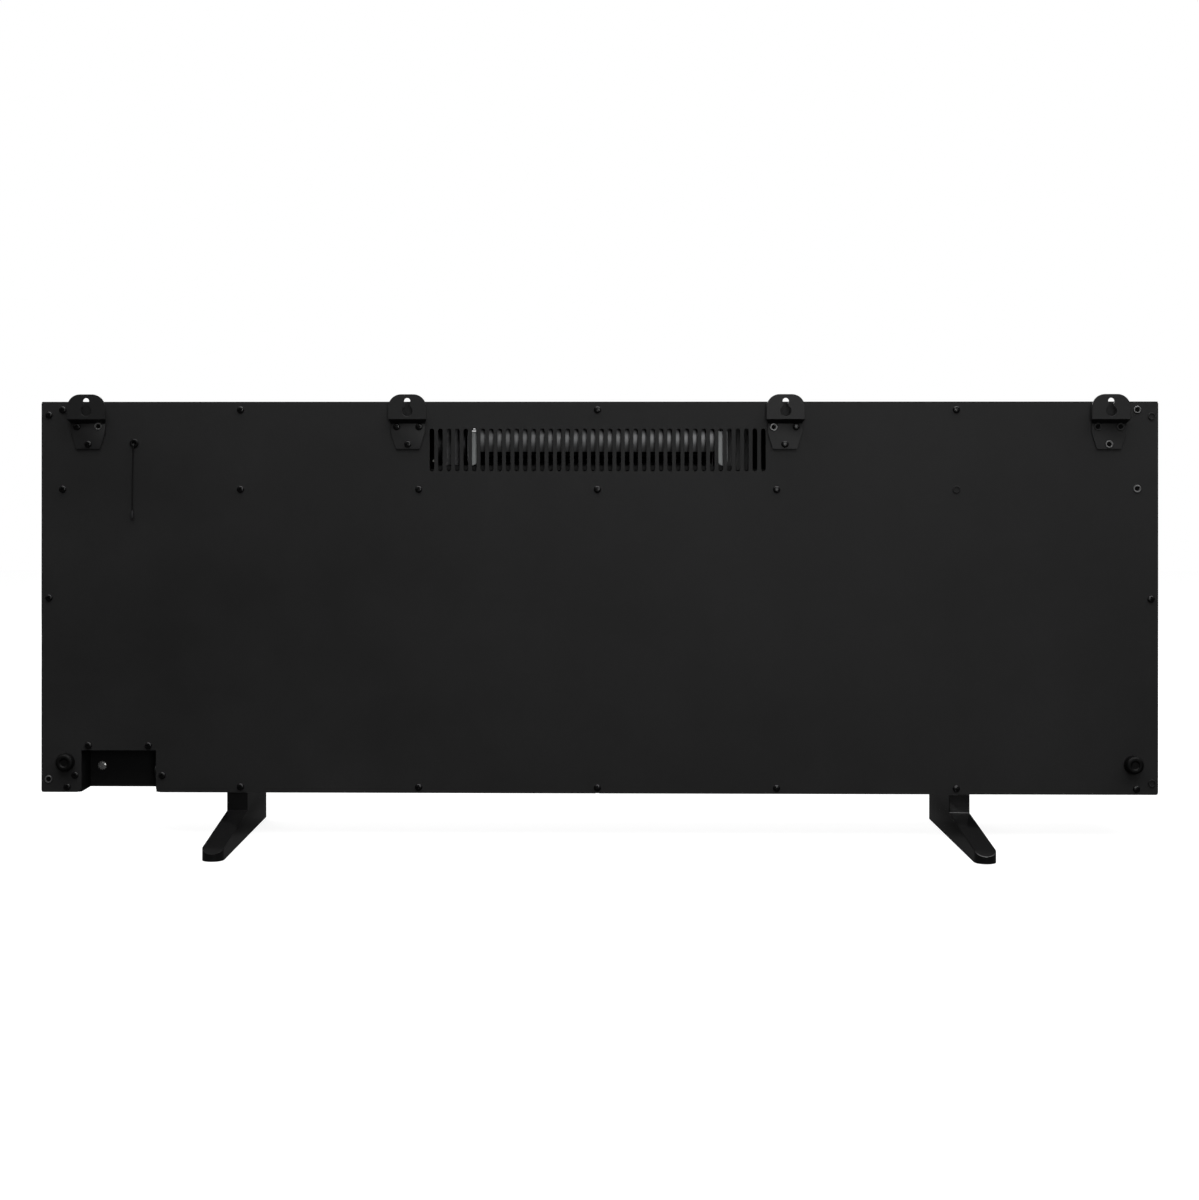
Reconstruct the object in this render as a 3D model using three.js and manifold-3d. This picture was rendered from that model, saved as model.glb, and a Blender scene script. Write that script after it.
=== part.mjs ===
// Wall-hung or free-standing linear electric fireplace, rebuilt as separate parts.
// Millimetres, +Z up, the glass front faces -Y and the back panel faces +Y.
import * as THREE from 'three';
import { mergeVertices } from 'three/addons/utils/BufferGeometryUtils.js';
import Module from 'manifold-3d';

const wasm = await Module();
wasm.setup();

// ---- driving dimensions ---------------------------------------------------
const GAP = 0.3;                 // air between parts that would touch
const W = 1248, H = 438;         // outline of the casing and of the back panel
const GROUND = 49;               // height of the casing above the floor
const TOP = GROUND + H;
const BACK = -11;                // rear face of the back panel
const SHEET = 1.2;               // gauge of the pressed steel
const PANEL_T = 1.5;
const PANEL_IN = BACK - PANEL_T; // inner face of the back panel
const CASE_FRONT = -126;         // front edge of the casing
const GLASS = { w: 1270, h: 438, t: 5, front: -132.8 };
const WINDOW = { w: 1120, z0: 97, z1: 387 };
const OUTLET = { w: 300, z0: 453, z1: 475 };
const SLOT = { count: 40, pitch: 9.5, w: 5.2, top: 30, length: 48 };
const RECESS = { x: 537, w: 84, h: 47, d: 39, flange: 12 };
const SENSOR = { x: 519.5, z: TOP - 46.6, hole: 7 };
const HANGERS = [-569, -209, 212, 571];
const BUMPER = { x: 596, z: GROUND + 34, r: 10, h: 11, plug: 2.5 };
const FOOT = { x: 403.6, w: 23, front: -137.5, stem: BACK - 1, nose: 137.5,
  stemZ: 28.4, toeY: 126, toeZ: 13.2, noseZ: 7.8, screws: [-92, -44] };
const FAN = { y: -52, z: 440, r: 22, scroll: 33, half: 130 };
const ROTOR = { y: -50, z: 108, r: 15, half: 455 };
const SHELF_Z = TOP - 77;        // underside of the shelf that carries the blower
const KEYS = { x: W / 2, y: -102, rocker: 307, buttons: [335, 352, 369, 386], travel: 1.5 };

// ---- makers ----------------------------------------------------------------
const group = new THREE.Group();
group.name = 'electric_fireplace';

function add(name, geometry, color, roughness, metalness, extra = {}) {
  const flat = geometry.index ? geometry.toNonIndexed() : geometry;
  flat.computeVertexNormals();
  const material = new THREE.MeshStandardMaterial({ color, roughness, metalness, ...extra });
  const mesh = new THREE.Mesh(flat, material);
  mesh.name = name;
  group.add(mesh);
}

const span = (x0, x1, y0, y1, z0, z1) =>
  new THREE.BoxGeometry(x1 - x0, y1 - y0, z1 - z0)
    .translate((x0 + x1) / 2, (y0 + y1) / 2, (z0 + z1) / 2);

const rodX = (r, x0, x1, y, z, n = 20) =>
  new THREE.CylinderGeometry(r, r, x1 - x0, n).rotateZ(Math.PI / 2)
    .translate((x0 + x1) / 2, y, z);
const rodY = (r, y0, y1, x, z, n = 20) =>
  new THREE.CylinderGeometry(r, r, y1 - y0, n).translate(x, (y0 + y1) / 2, z);
const rodZ = (r, z0, z1, x, y, n = 20) =>
  new THREE.CylinderGeometry(r, r, z1 - z0, n).rotateX(Math.PI / 2)
    .translate(x, y, (z0 + z1) / 2);

const basisXZ = new THREE.Matrix4().makeBasis(
  new THREE.Vector3(1, 0, 0), new THREE.Vector3(0, 0, 1), new THREE.Vector3(0, -1, 0));
const basisYZ = new THREE.Matrix4().makeBasis(
  new THREE.Vector3(0, 1, 0), new THREE.Vector3(0, 0, 1), new THREE.Vector3(1, 0, 0));

// a plate drawn in X and Z, from y0 (front) to y1 (rear)
const plate = (shape, y0, y1, curveSegments = 6) =>
  new THREE.ExtrudeGeometry(shape, { depth: y1 - y0, bevelEnabled: false, curveSegments })
    .applyMatrix4(basisXZ).translate(0, y1, 0);

// a profile drawn in Y and Z, running from x0 to x1
const profile = (points, x0, x1) =>
  new THREE.ExtrudeGeometry(outline(points), { depth: x1 - x0, bevelEnabled: false })
    .applyMatrix4(basisYZ).translate(x0, 0, 0);

function outline(points) {
  return new THREE.Shape(points.map(([a, b]) => new THREE.Vector2(a, b)));
}

function ring(points) {
  return new THREE.Path(points.map(([a, b]) => new THREE.Vector2(a, b)));
}

const rect = (x0, x1, z0, z1) => [[x0, z0], [x1, z0], [x1, z1], [x0, z1]];

function arc(cx, cz, r, from, to, steps) {
  const points = [];
  for (let i = 0; i <= steps; i += 1) {
    const a = THREE.MathUtils.degToRad(from + ((to - from) * i) / steps);
    points.push([cx + r * Math.cos(a), cz + r * Math.sin(a)]);
  }
  return points;
}

// a body turned about an axis along +Y, from points of [radius, distance behind y]
const turned = (points, x, y, z, n = 24) =>
  new THREE.LatheGeometry(points.map(([r, d]) => new THREE.Vector2(r, d)), n)
    .translate(x, y, z);

function solid(geometry) {
  const bare = geometry.clone();
  bare.deleteAttribute('normal');
  bare.deleteAttribute('uv');
  const m = mergeVertices(bare, 1e-4);
  return new wasm.Manifold(new wasm.Mesh({
    numProp: 3,
    vertProperties: new Float32Array(m.attributes.position.array),
    triVerts: new Uint32Array(m.index.array),
  }));
}

function toGeometry(manifold) {
  const mesh = manifold.getMesh();
  const g = new THREE.BufferGeometry();
  g.setAttribute('position', new THREE.BufferAttribute(new Float32Array(mesh.vertProperties), 3));
  g.setIndex(new THREE.BufferAttribute(new Uint32Array(mesh.triVerts), 1));
  return g;
}

// start with the first piece, join the rest, then cut the holes
function build(pieces, cuts = []) {
  let body = solid(pieces[0]);
  for (const p of pieces.slice(1)) body = body.add(solid(p));
  for (const c of cuts) body = body.subtract(solid(c));
  return toGeometry(body);
}

const BLACK = 0x1d1d1f, GALV = 0xa9abab, PLASTIC = 0x141415;

// ---- back panel: vent slots, cord recess notch, lead hole, bumper holes -----
const panelShape = outline([
  [-W / 2 + 2, GROUND], [-2, GROUND], [-2, GROUND + 2.5], [2, GROUND + 2.5], [2, GROUND],
  [RECESS.x - RECESS.w / 2 - 4.5, GROUND], [RECESS.x - RECESS.w / 2, GROUND + 3.5],
  [RECESS.x - RECESS.w / 2, GROUND + RECESS.h], [RECESS.x + RECESS.w / 2, GROUND + RECESS.h],
  [RECESS.x + RECESS.w / 2, GROUND + 3.5], [RECESS.x + RECESS.w / 2 + 4.5, GROUND],
  [W / 2 - 2, GROUND], [W / 2, GROUND + 2], [W / 2, TOP - 2], [W / 2 - 2, TOP],
  [-W / 2 + 2, TOP], [-W / 2, TOP - 2], [-W / 2, GROUND + 2],
]);
const slotR = SLOT.w / 2;
for (let i = 0; i < SLOT.count; i += 1) {
  const x = (i - (SLOT.count - 1) / 2) * SLOT.pitch;
  panelShape.holes.push(ring([
    ...arc(x, TOP - SLOT.top - slotR, slotR, 0, 180, 5),
    ...arc(x, TOP - SLOT.top - SLOT.length + slotR, slotR, 180, 360, 5),
  ]));
}
panelShape.holes.push(ring(arc(SENSOR.x, SENSOR.z, SENSOR.hole / 2, 0, 350, 15)));
for (const side of [-1, 1]) {
  panelShape.holes.push(ring(arc(side * BUMPER.x, BUMPER.z, BUMPER.plug + GAP, 0, 345, 15)));
}
add('back_panel', plate(panelShape, PANEL_IN, BACK), BLACK, 0.6, 0.3);

// ---- casing: folded wrap with a turned-in flange at each open side ----------
const footBores = [];
for (const side of [-1, 1]) {
  for (const dy of FOOT.screws) {
    footBores.push(rodZ(2.4, GROUND - 1, GROUND + 4, side * FOOT.x, dy, 16));
  }
}
const inner = W / 2 - SHEET;
const recessHalf = RECESS.w / 2 + SHEET + 0.5;
add('casing', build(
  [span(-W / 2, W / 2, CASE_FRONT, PANEL_IN - GAP, GROUND, TOP)],
  [
    span(-inner, inner, CASE_FRONT + SHEET, PANEL_IN - GAP - SHEET, GROUND + SHEET, TOP - SHEET),
    span(-inner + 11, inner - 11, -60, 0, GROUND + 12, TOP - 12),
    span(-inner + 8, inner - 8, -140, -60, GROUND + 9, TOP - 9),
    span(RECESS.x - recessHalf, RECESS.x + recessHalf, PANEL_IN - RECESS.d - 4, 0, GROUND - 5, 60),
    span(RECESS.x - 57, RECESS.x + 57, PANEL_IN - 3, 0, GROUND + SHEET, GROUND + 20),
    span(W / 2 - 20, W / 2 + 5, KEYS.y - 10.4, KEYS.y + 10.4, 292, 398),
    ...footBores,
  ]), BLACK, 0.6, 0.3);

// ---- cord recess: a pocket open to the rear and to the floor ----------------
const pocketY = PANEL_IN - GAP - RECESS.d;
const rx0 = RECESS.x - RECESS.w / 2, rx1 = RECESS.x + RECESS.w / 2;
const gland = { y: pocketY + 18, z: GROUND + 22, r: 6 };
add('recess_box', build(
  [
    span(rx0 - SHEET, rx1 + SHEET, pocketY - SHEET, PANEL_IN - GAP, GROUND + 0.2,
      GROUND + RECESS.h + SHEET),
    span(rx0 - RECESS.flange, rx1 + RECESS.flange, PANEL_IN - GAP - SHEET, PANEL_IN - GAP,
      GROUND + 2, GROUND + RECESS.h + RECESS.flange),
  ],
  [
    span(rx0, rx1, pocketY, 0, GROUND - 5, GROUND + RECESS.h),
    rodX(gland.r + GAP, rx0 - 5, rx0 + 5, gland.y, gland.z, 20),
    rodY(2.3, pocketY - 5, pocketY + 5, rx1 - 13.5, GROUND + 24.3, 16),
  ]), 0x161617, 0.6, 0.3);

// earth screw through the recess back wall, and the gland the mains lead would use
const earthX = rx1 - 13.5, earthZ = GROUND + 24.3;
add('earth_screw', build([
  rodY(2, pocketY - 7, pocketY + 1, earthX, earthZ, 16),
  rodY(3.7, pocketY + GAP, pocketY + 3, earthX, earthZ, 20),
]), 0xb9b9b6, 0.35, 0.9);
add('mains_gland', build(
  [
    rodX(gland.r, rx0 - SHEET - 5, rx0 + 3, gland.y, gland.z, 24),
    rodX(gland.r + 2.6, rx0 + GAP, rx0 + 5, gland.y, gland.z, 24),
    rodX(gland.r + 2, rx0 - SHEET - 5, rx0 - SHEET - GAP, gland.y, gland.z, 24),
  ],
  [rodX(3.6, rx0 - 20, rx0 + 20, gland.y, gland.z, 20)]), PLASTIC, 0.5, 0);

// ---- wall hangers: joggled straps with a keyhole -----------------------------
const strap = { t: 2, tab: BACK + GAP, plate: BACK + 9.5 };
const hangerSide = [
  [strap.tab, TOP - 53], [strap.tab + strap.t, TOP - 53], [strap.tab + strap.t, TOP - 24.5],
  [strap.plate + strap.t, TOP - 20], [strap.plate + strap.t, TOP + 9],
  [strap.plate, TOP + 9], [strap.plate, TOP - 18.6], [strap.tab, TOP - 23.2],
];
for (const [i, x] of HANGERS.entries()) {
  const face = outline([
    [x - 13.4, TOP - 53], [x + 13.4, TOP - 53], [x + 19.5, TOP - 34], [x + 19.5, TOP - 23],
    [x + 21.2, TOP - 21], ...arc(x + 6.8, TOP - 6.6, 14.4, 0, 90, 10),
    ...arc(x - 6.8, TOP - 6.6, 14.4, 90, 180, 10), [x - 21.2, TOP - 21], [x - 19.5, TOP - 23],
    [x - 19.5, TOP - 34],
  ]);
  const keyhole = outline([
    ...arc(x, TOP - 10.8, 6, 117.8, 422.2, 20), ...arc(x, TOP + 0.2, 3.5, -36.5, 216.5, 16),
  ]);
  const body = solid(profile(hangerSide, x - 30, x + 30))
    .intersect(solid(plate(face, BACK - 1, BACK + 20)))
    .subtract(solid(plate(keyhole, BACK + 5, BACK + 20)));
  add(`hanger_${i + 1}`, toGeometry(body), 0x17171a, 0.5, 0.4);
}

// ---- rubber wall bumpers, plugged into the back panel ------------------------
for (const [name, side] of [['bumper_left', -1], ['bumper_right', 1]]) {
  add(name, turned([
    [0, -5], [BUMPER.plug, -5], [BUMPER.plug, GAP], [BUMPER.r, GAP],
    [BUMPER.r, BUMPER.h - 2.5], [BUMPER.r - 0.8, BUMPER.h - 0.8], [BUMPER.r - 2.5, BUMPER.h],
    [5, BUMPER.h], [4.2, BUMPER.h - 1.2], [0, BUMPER.h - 1.2],
  ], side * BUMPER.x, BACK, BUMPER.z, 28), 0x0d0d0d, 0.45, 0);
}

// ---- feet: one moulded wedge each, two screws up into the casing -------------
const footSide = [
  [FOOT.front, 0], [FOOT.nose, 0], [FOOT.nose, FOOT.noseZ], [FOOT.toeY, FOOT.toeZ],
  [FOOT.stem, FOOT.stemZ],
  [FOOT.stem, GROUND - GAP], [FOOT.front, GROUND - GAP],
];
for (const [name, side] of [['foot_left', -1], ['foot_right', 1]]) {
  const x = side * FOOT.x, half = FOOT.w / 2;
  const planShape = outline([
    [x - half, FOOT.front], [x + half, FOOT.front],
    ...arc(x, FOOT.nose - half, half, 0, 180, 16),
  ]);
  const plan = new THREE.ExtrudeGeometry(planShape, { depth: 60, bevelEnabled: false })
    .translate(0, 0, -5);
  let body = solid(profile(footSide, x - 20, x + 20)).intersect(solid(plan));
  for (const dy of FOOT.screws) {
    body = body.subtract(solid(rodZ(2.4, -1, GROUND, x, dy, 16)))
      .subtract(solid(rodZ(5, -1, 30, x, dy, 20)));
  }
  add(name, toGeometry(body), 0x121213, 0.32, 0);
  for (const [i, dy] of FOOT.screws.entries()) {
    add(`${name}_screw_${i + 1}`, build([
      rodZ(2, 28, GROUND + 8, x, dy, 16), rodZ(4.5, 25, 30 - GAP, x, dy, 20),
    ]), 0x2a2a2c, 0.4, 0.8);
  }
}

// ---- thermostat lead: grommet, thin wire hanging down, bead at its end --------
add('sensor_grommet', turned([
  [1.4, -3], [3.2, -3], [3.2, GAP], [5, GAP], [5, 1.6], [4.2, 2.3], [2.4, 2.3], [1.4, 1.2],
  [1.4, -3],
], SENSOR.x, BACK, SENSOR.z, 24), 0x101010, 0.5, 0);
const leadR = 0.7, leadX = SENSOR.x + 1.5, beadTop = TOP - 122;
const leadPath = new THREE.CatmullRomCurve3([
  new THREE.Vector3(SENSOR.x, BACK - 6, SENSOR.z),
  new THREE.Vector3(SENSOR.x, BACK + 1, SENSOR.z),
  new THREE.Vector3(SENSOR.x + 0.2, BACK + 4.2, SENSOR.z - 3),
  new THREE.Vector3(SENSOR.x + 0.6, BACK + 3.4, SENSOR.z - 14),
  new THREE.Vector3(leadX, BACK + 2.2, SENSOR.z - 40),
  new THREE.Vector3(leadX + 0.3, BACK + 2.2, beadTop + GAP),
], false, 'centripetal');
const leadShape = outline(arc(0, 0, leadR, 0, 315, 7));
add('sensor_lead', new THREE.ExtrudeGeometry(leadShape, {
  steps: 40, extrudePath: leadPath, bevelEnabled: false,
}), 0x0b0b0b, 0.5, 0);
add('sensor_bead', new THREE.LatheGeometry([
  [0, 0], [1.1, 0.4], [1.7, 1.8], [1.8, 6], [1.5, 8.4], [1.2, 10], [0, 10],
].map(([r, d]) => new THREE.Vector2(r, d)), 16).rotateX(Math.PI / 2)
  .translate(leadX + 0.3, BACK + 2.2, beadTop - 10), 0x2b2b2b, 0.4, 0);

// ---- shelf across the casing that carries the blower and the board -----------
add('blower_shelf', build([
  span(-inner + 0.5, inner - 0.5, CASE_FRONT + 2, -18, SHELF_Z, SHELF_Z + SHEET),
  span(-152, 180, -19.2, -18, SHELF_Z, SHELF_Z + 5.5),
], [rodZ(4, SHELF_Z - 5, SHELF_Z + 5, 470, -30, 16)]), GALV, 0.4, 0.8);

// ---- cross-flow blower: scroll, end brackets, tongue, impeller, motor ---------
const shelfTop = SHELF_Z + SHEET + GAP;
const scrollZ = FAN.z + 5;
const scrollOuter = arc(FAN.y, scrollZ, FAN.scroll, -25, 90, 16);
const scrollInner = arc(FAN.y, scrollZ, FAN.scroll - 1, 90, -25, 16);
const ductFront = -104;
add('blower_scroll', profile([
  ...scrollOuter, [ductFront, scrollZ + FAN.scroll + 1.5], [ductFront, scrollZ + FAN.scroll + 0.5],
  ...scrollInner,
], -FAN.half - 4.5, FAN.half + 4.5), GALV, 0.35, 0.85);
add('blower_tongue', profile([
  [-79, 432], [-77.8, 432], [-79, 450.8], [ductFront, 450.8], [ductFront, 449.6], [-80.2, 449.6],
], -FAN.half - 4.5, FAN.half + 4.5), GALV, 0.35, 0.85);
for (const [name, side] of [['blower_bracket_left', -1], ['blower_bracket_right', 1]]) {
  const x0 = FAN.half + 5, x1 = x0 + SHEET, lip = x0 + 10.6;
  const mx = (a, b) => (side > 0 ? [a, b] : [-b, -a]);
  const [a0, a1] = mx(x0, x1), [b0, b1] = mx(x0, lip), mid = (b0 + b1) / 2;
  const lipShape = outline([
    [b1, TOP - 33], [b0, TOP - 33], ...arc(mid, TOP - 66, 5.3, 180, 360, 8),
  ]);
  add(name, build(
    [
      profile([
        [ductFront, shelfTop], [-30, shelfTop], [-17, TOP - 62], [-17, TOP - 33], [-28, TOP - 9],
        [ductFront, TOP - 9],
      ], a0, a1),
      plate(lipShape, -18.2, -17),
      span(b0, b1, ductFront + 4, -40, shelfTop, shelfTop + SHEET),
    ],
    [rodX(5, a0 - 3, a1 + 3, FAN.y, FAN.z, 20)]), 0xc4c6c6, 0.3, 0.9);
}
const fanParts = [rodX(3, -FAN.half - 14, FAN.half + 18, FAN.y, FAN.z, 16)];
for (const x of [-FAN.half, -43.5, 42, FAN.half - 1.5]) {
  fanParts.push(rodX(FAN.r, x, x + 1.5, FAN.y, FAN.z, 28));
}
const blades = 18;
for (let i = 0; i < blades; i += 1) {
  const blade = new THREE.BoxGeometry(FAN.half * 2 - 1, 7, 0.9).rotateX(0.6)
    .translate(0, FAN.r - 3.9, 0).rotateX((i / blades) * Math.PI * 2)
    .translate(0, FAN.y, FAN.z);
  fanParts.push(blade);
}
add('blower_impeller', build(fanParts), 0x3c3d3f, 0.5, 0.1);
add('blower_bearing', build(
  [
    rodX(9, -FAN.half - 13, -FAN.half - 6.5, FAN.y, FAN.z, 24),
  ],
  [rodX(3.3, -FAN.half - 20, -FAN.half, FAN.y, FAN.z, 16)]), 0x2a2a2a, 0.6, 0);
add('blower_motor', build(
  [
    rodX(20, FAN.half + 19, FAN.half + 52, FAN.y, FAN.z, 32),
    span(FAN.half + 26, FAN.half + 44, FAN.y - 24, FAN.y + 24, FAN.z - 24, FAN.z + 24),
    span(FAN.half + 24, FAN.half + 46, FAN.y - 15, FAN.y + 15, shelfTop, FAN.z - 9),
  ],
  [rodX(3.3, FAN.half, FAN.half + 30, FAN.y, FAN.z, 16)]), 0x3f4144, 0.5, 0.6);

// ---- heater: finned ceramic element in the duct, cut-out disc on the bracket ---
const finGaps = [];
for (let i = 0; i < 32; i += 1) {
  const x = -FAN.half + 6 + i * 7.8;
  finGaps.push(span(x, x + 6, -105, -80, 455, 469));
}
add('heater_element', build([span(-FAN.half, FAN.half, -101, -86, 452.5, 471.5)], finGaps),
  0xb5b2aa, 0.5, 0.6);
add('thermal_cutout', rodX(8, -FAN.half - 16, -FAN.half - 6.5, -92, 462, 24), 0xcfcac0, 0.5, 0.2);

// ---- warm-air grille in the front --------------------------------------------
const gx = OUTLET.w / 2 - 0.5, gz0 = OUTLET.z0 + 0.5, gz1 = OUTLET.z1 - 0.5;
const grilleParts = [span(-gx, gx, -132, -108, gz0, gz1)];
const grilleCuts = [span(-gx + 1.5, gx - 1.5, -140, -100, gz0 + 1.5, gz1 - 1.5)];
let grille = solid(grilleParts[0]).subtract(solid(grilleCuts[0]));
for (let i = 1; i <= 3; i += 1) {
  const z = gz0 + ((gz1 - gz0) * i) / 4;
  grille = grille.add(solid(span(-gx + 1, gx - 1, -131, -114, z - 0.6, z + 0.6)));
}
for (const x of [-75, 0, 75]) {
  grille = grille.add(solid(span(x - 0.8, x + 0.8, -130, -116, gz0 + 1, gz1 - 1)));
}
add('outlet_grille', toGeometry(grille), 0x151516, 0.55, 0.3);

// ---- glass front and the black bezel behind it --------------------------------
const glassMid = GROUND + H / 2;
const glassShape = outline(rect(-GLASS.w / 2, GLASS.w / 2, glassMid - GLASS.h / 2,
  glassMid + GLASS.h / 2));
glassShape.holes.push(ring(rect(-OUTLET.w / 2, OUTLET.w / 2, OUTLET.z0, OUTLET.z1)));
add('glass_front', plate(glassShape, GLASS.front, GLASS.front + GLASS.t), 0x0a0b0c, 0.08, 0,
  { transparent: true, opacity: 0.45 });
const bezelShape = outline(rect(-612, 612, GROUND + 6, TOP - 3));
bezelShape.holes.push(ring(rect(-OUTLET.w / 2, OUTLET.w / 2, OUTLET.z0, OUTLET.z1)));
bezelShape.holes.push(ring(rect(-WINDOW.w / 2, WINDOW.w / 2, WINDOW.z0, WINDOW.z1)));
add('bezel_frame', plate(bezelShape, GLASS.front + GLASS.t + GAP, CASE_FRONT - GAP), 0x0c0c0d,
  0.5, 0.2);

// ---- fire chamber: diffuser screen, fuel tray, ember bed, logs ------------------
add('flame_screen', span(-WINDOW.w / 2 - 18, WINDOW.w / 2 + 18, -78, -75, 80, 398), 0xd9d9dc,
  0.6, 0, { transparent: true, opacity: 0.7 });
add('fuel_tray', profile([
  [-124, 84], [-124, 92], [-122.8, 92], [-122.8, 85.2], [-79.6, 85.2], [-79.6, 92],
  [-78.4, 92], [-78.4, 62], [-79.6, 62], [-79.6, 84],
], -566, 566), 0x1a1a1b, 0.6, 0.3);
const bedTop = [];
for (let i = 0; i <= 12; i += 1) {
  const y = -121 + i * 3.3;
  bedTop.push([y, 95 + 3.2 * Math.sin(i * 1.7) + 2 * Math.sin(i * 0.6 + 1)]);
}
add('ember_bed', profile([[-121.4, 85.5], [-81, 85.5], ...bedTop.reverse()], -555, 555),
  0x2a1a14, 0.85, 0);
const logs = [
  ['log_left', -330, 300, 14, -99, 0.05], ['log_middle', 10, 340, 16, -101, -0.04],
  ['log_right', 350, 280, 13, -98, 0.06],
];
for (const [name, x, length, r, y, turn] of logs) {
  const stations = [];
  for (let i = 0; i <= 8; i += 1) {
    const bulge = 1 - 0.16 * Math.sin(i * 1.9) ** 2 - (i === 0 || i === 8 ? 0.2 : 0);
    stations.push(new THREE.Vector2(r * bulge, (i / 8 - 0.5) * length));
  }
  const bark = new THREE.LatheGeometry(
    [new THREE.Vector2(0, -length / 2), ...stations, new THREE.Vector2(0, length / 2)], 14)
    .rotateZ(Math.PI / 2).rotateZ(turn).translate(x, y, 101.5 + r);
  add(name, bark, 0x4a3526, 0.9, 0);
}

// ---- flame rotor: spindle of mirror paddles, driven at one end ------------------
const rotorParts = [rodX(2.5, -ROTOR.half - 12, ROTOR.half + 12, ROTOR.y, ROTOR.z, 12)];
for (let i = 0; i < 30; i += 1) {
  const paddle = new THREE.BoxGeometry(27, 2 * ROTOR.r, 0.8).rotateX(i * 1.05)
    .translate(-ROTOR.half + 18 + i * 31.2 * ((2 * ROTOR.half - 36) / (29 * 31.2)), 0, 0)
    .translate(0, ROTOR.y, ROTOR.z);
  rotorParts.push(paddle);
}
add('flame_rotor', build(rotorParts), 0xc9ccd0, 0.15, 1);
add('rotor_motor', build(
  [
    rodX(20, -ROTOR.half - 40, -ROTOR.half - 18, ROTOR.y, ROTOR.z, 28),
    rodX(6, -ROTOR.half - 18.5, -ROTOR.half - 8, ROTOR.y, ROTOR.z, 20),
    span(-ROTOR.half - 36, -ROTOR.half - 22, ROTOR.y - 14, ROTOR.y + 14, GROUND + SHEET + GAP,
      ROTOR.z - 12),
  ],
  [rodX(2.8, -ROTOR.half - 16, -ROTOR.half, ROTOR.y, ROTOR.z, 16)]), 0xb8bab8, 0.4, 0.7);
add('rotor_bearing', build(
  [
    rodX(7, ROTOR.half + 5, ROTOR.half + 14, ROTOR.y, ROTOR.z, 20),
    span(ROTOR.half + 5, ROTOR.half + 14, ROTOR.y - 5, ROTOR.y + 5, GROUND + SHEET + GAP,
      ROTOR.z - 4),
    span(ROTOR.half - 4, ROTOR.half + 14, ROTOR.y - 10, ROTOR.y + 10, GROUND + SHEET + GAP,
      GROUND + SHEET + 3),
  ],
  [rodX(2.8, ROTOR.half, ROTOR.half + 20, ROTOR.y, ROTOR.z, 16)]), 0x222222, 0.6, 0);

// ---- light strips: one under the rotor, one under the ember bed -----------------
add('led_strip_flame', build([
  span(-440, 440, -62, -38, 78, 79.6), span(-440, 440, -52, -48, 79.4, 82),
  span(-430, -424, -60, -40, GROUND + SHEET + GAP, 78.2),
  span(424, 430, -60, -40, GROUND + SHEET + GAP, 78.2),
]), 0xe8e8e2, 0.5, 0);
add('led_strip_ember', span(-540, 540, -112, -94, 81.6, 83.6), 0xe8e8e2, 0.5, 0);

// ---- control board on the shelf, beside the lead hole ---------------------------
add('control_board', build([
  span(440, 600, -72, -70.4, shelfTop + 2, TOP - 14),
  span(450, 468, -70.8, -52, shelfTop + 10, shelfTop + 30),
  span(474, 492, -70.8, -52, shelfTop + 10, shelfTop + 30),
  span(540, 572, -70.8, -46, shelfTop + 8, shelfTop + 36),
  rodY(7, -70.8, -48, 584, shelfTop + 40, 20),
  span(446, 452, -78, -70.2, shelfTop, shelfTop + 8),
  span(588, 594, -78, -70.2, shelfTop, shelfTop + 8),
]), 0x1f5a36, 0.5, 0);

// ---- controls on the right-hand side: bezel, four buttons, one rocker -----------
const face = KEYS.x + GAP;
const keyCuts = [
  span(face - 20, face + 5, KEYS.y - 6.4, KEYS.y + 6.4, KEYS.rocker - 10.8, KEYS.rocker + 10.8),
  rodY(1.8, KEYS.y - 8.6, KEYS.y + 8.6, face - 5, KEYS.rocker, 16),
];
for (const z of KEYS.buttons) {
  keyCuts.push(rodX(4.8, face - 20, face + 5, KEYS.y, z, 24));
  keyCuts.push(rodX(6.3, face - 13, face - 6, KEYS.y, z, 24));
}
add('control_bezel', build([
  span(face, face + 2, KEYS.y - 12.5, KEYS.y + 12.5, 289, 401),
  span(face - 12, face + 0.5, KEYS.y - 10, KEYS.y + 10, 292.6, 397.4),
], keyCuts), 0x101011, 0.5, 0);
for (const [i, z] of KEYS.buttons.entries()) {
  add(`button_${i + 1}`, build([
    rodX(4.5, face - 12, face + 3.6, KEYS.y, z, 24),
    rodX(6, face - 12, face - 10.2, KEYS.y, z, 24),
  ]), 0x2b2b2d, 0.45, 0);
}
const rockerAxis = face - 5;
const rockerShape = outline([
  [rockerAxis - 5, KEYS.rocker - 6], [rockerAxis + 2, KEYS.rocker - 9.8],
  [rockerAxis + 8.8, KEYS.rocker - 9.6], [rockerAxis + 7.4, KEYS.rocker],
  [rockerAxis + 8.8, KEYS.rocker + 9.6], [rockerAxis + 2, KEYS.rocker + 9.8],
  [rockerAxis - 5, KEYS.rocker + 6],
]);
add('power_rocker', build([
  plate(rockerShape, KEYS.y - 6, KEYS.y + 6),
  rodY(1.5, KEYS.y - 8.2, KEYS.y + 8.2, rockerAxis, KEYS.rocker, 16),
]), 0x0e0e0f, 0.35, 0);
add('switch_board', build([
  span(face - 17.2, face - 15.6, KEYS.y - 9, KEYS.y + 9, 326, 396),
  ...KEYS.buttons.map((z) => span(face - 15.8, face - 13.9, KEYS.y - 3, KEYS.y + 3, z - 3, z + 3)),
]), 0x1f5a36, 0.5, 0);

export default group;
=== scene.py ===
"""A slim, wide electric fireplace on two rear-swept feet, seen from behind, in metres."""
import math

import bmesh
import bpy
from mathutils import Matrix, Vector


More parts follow.
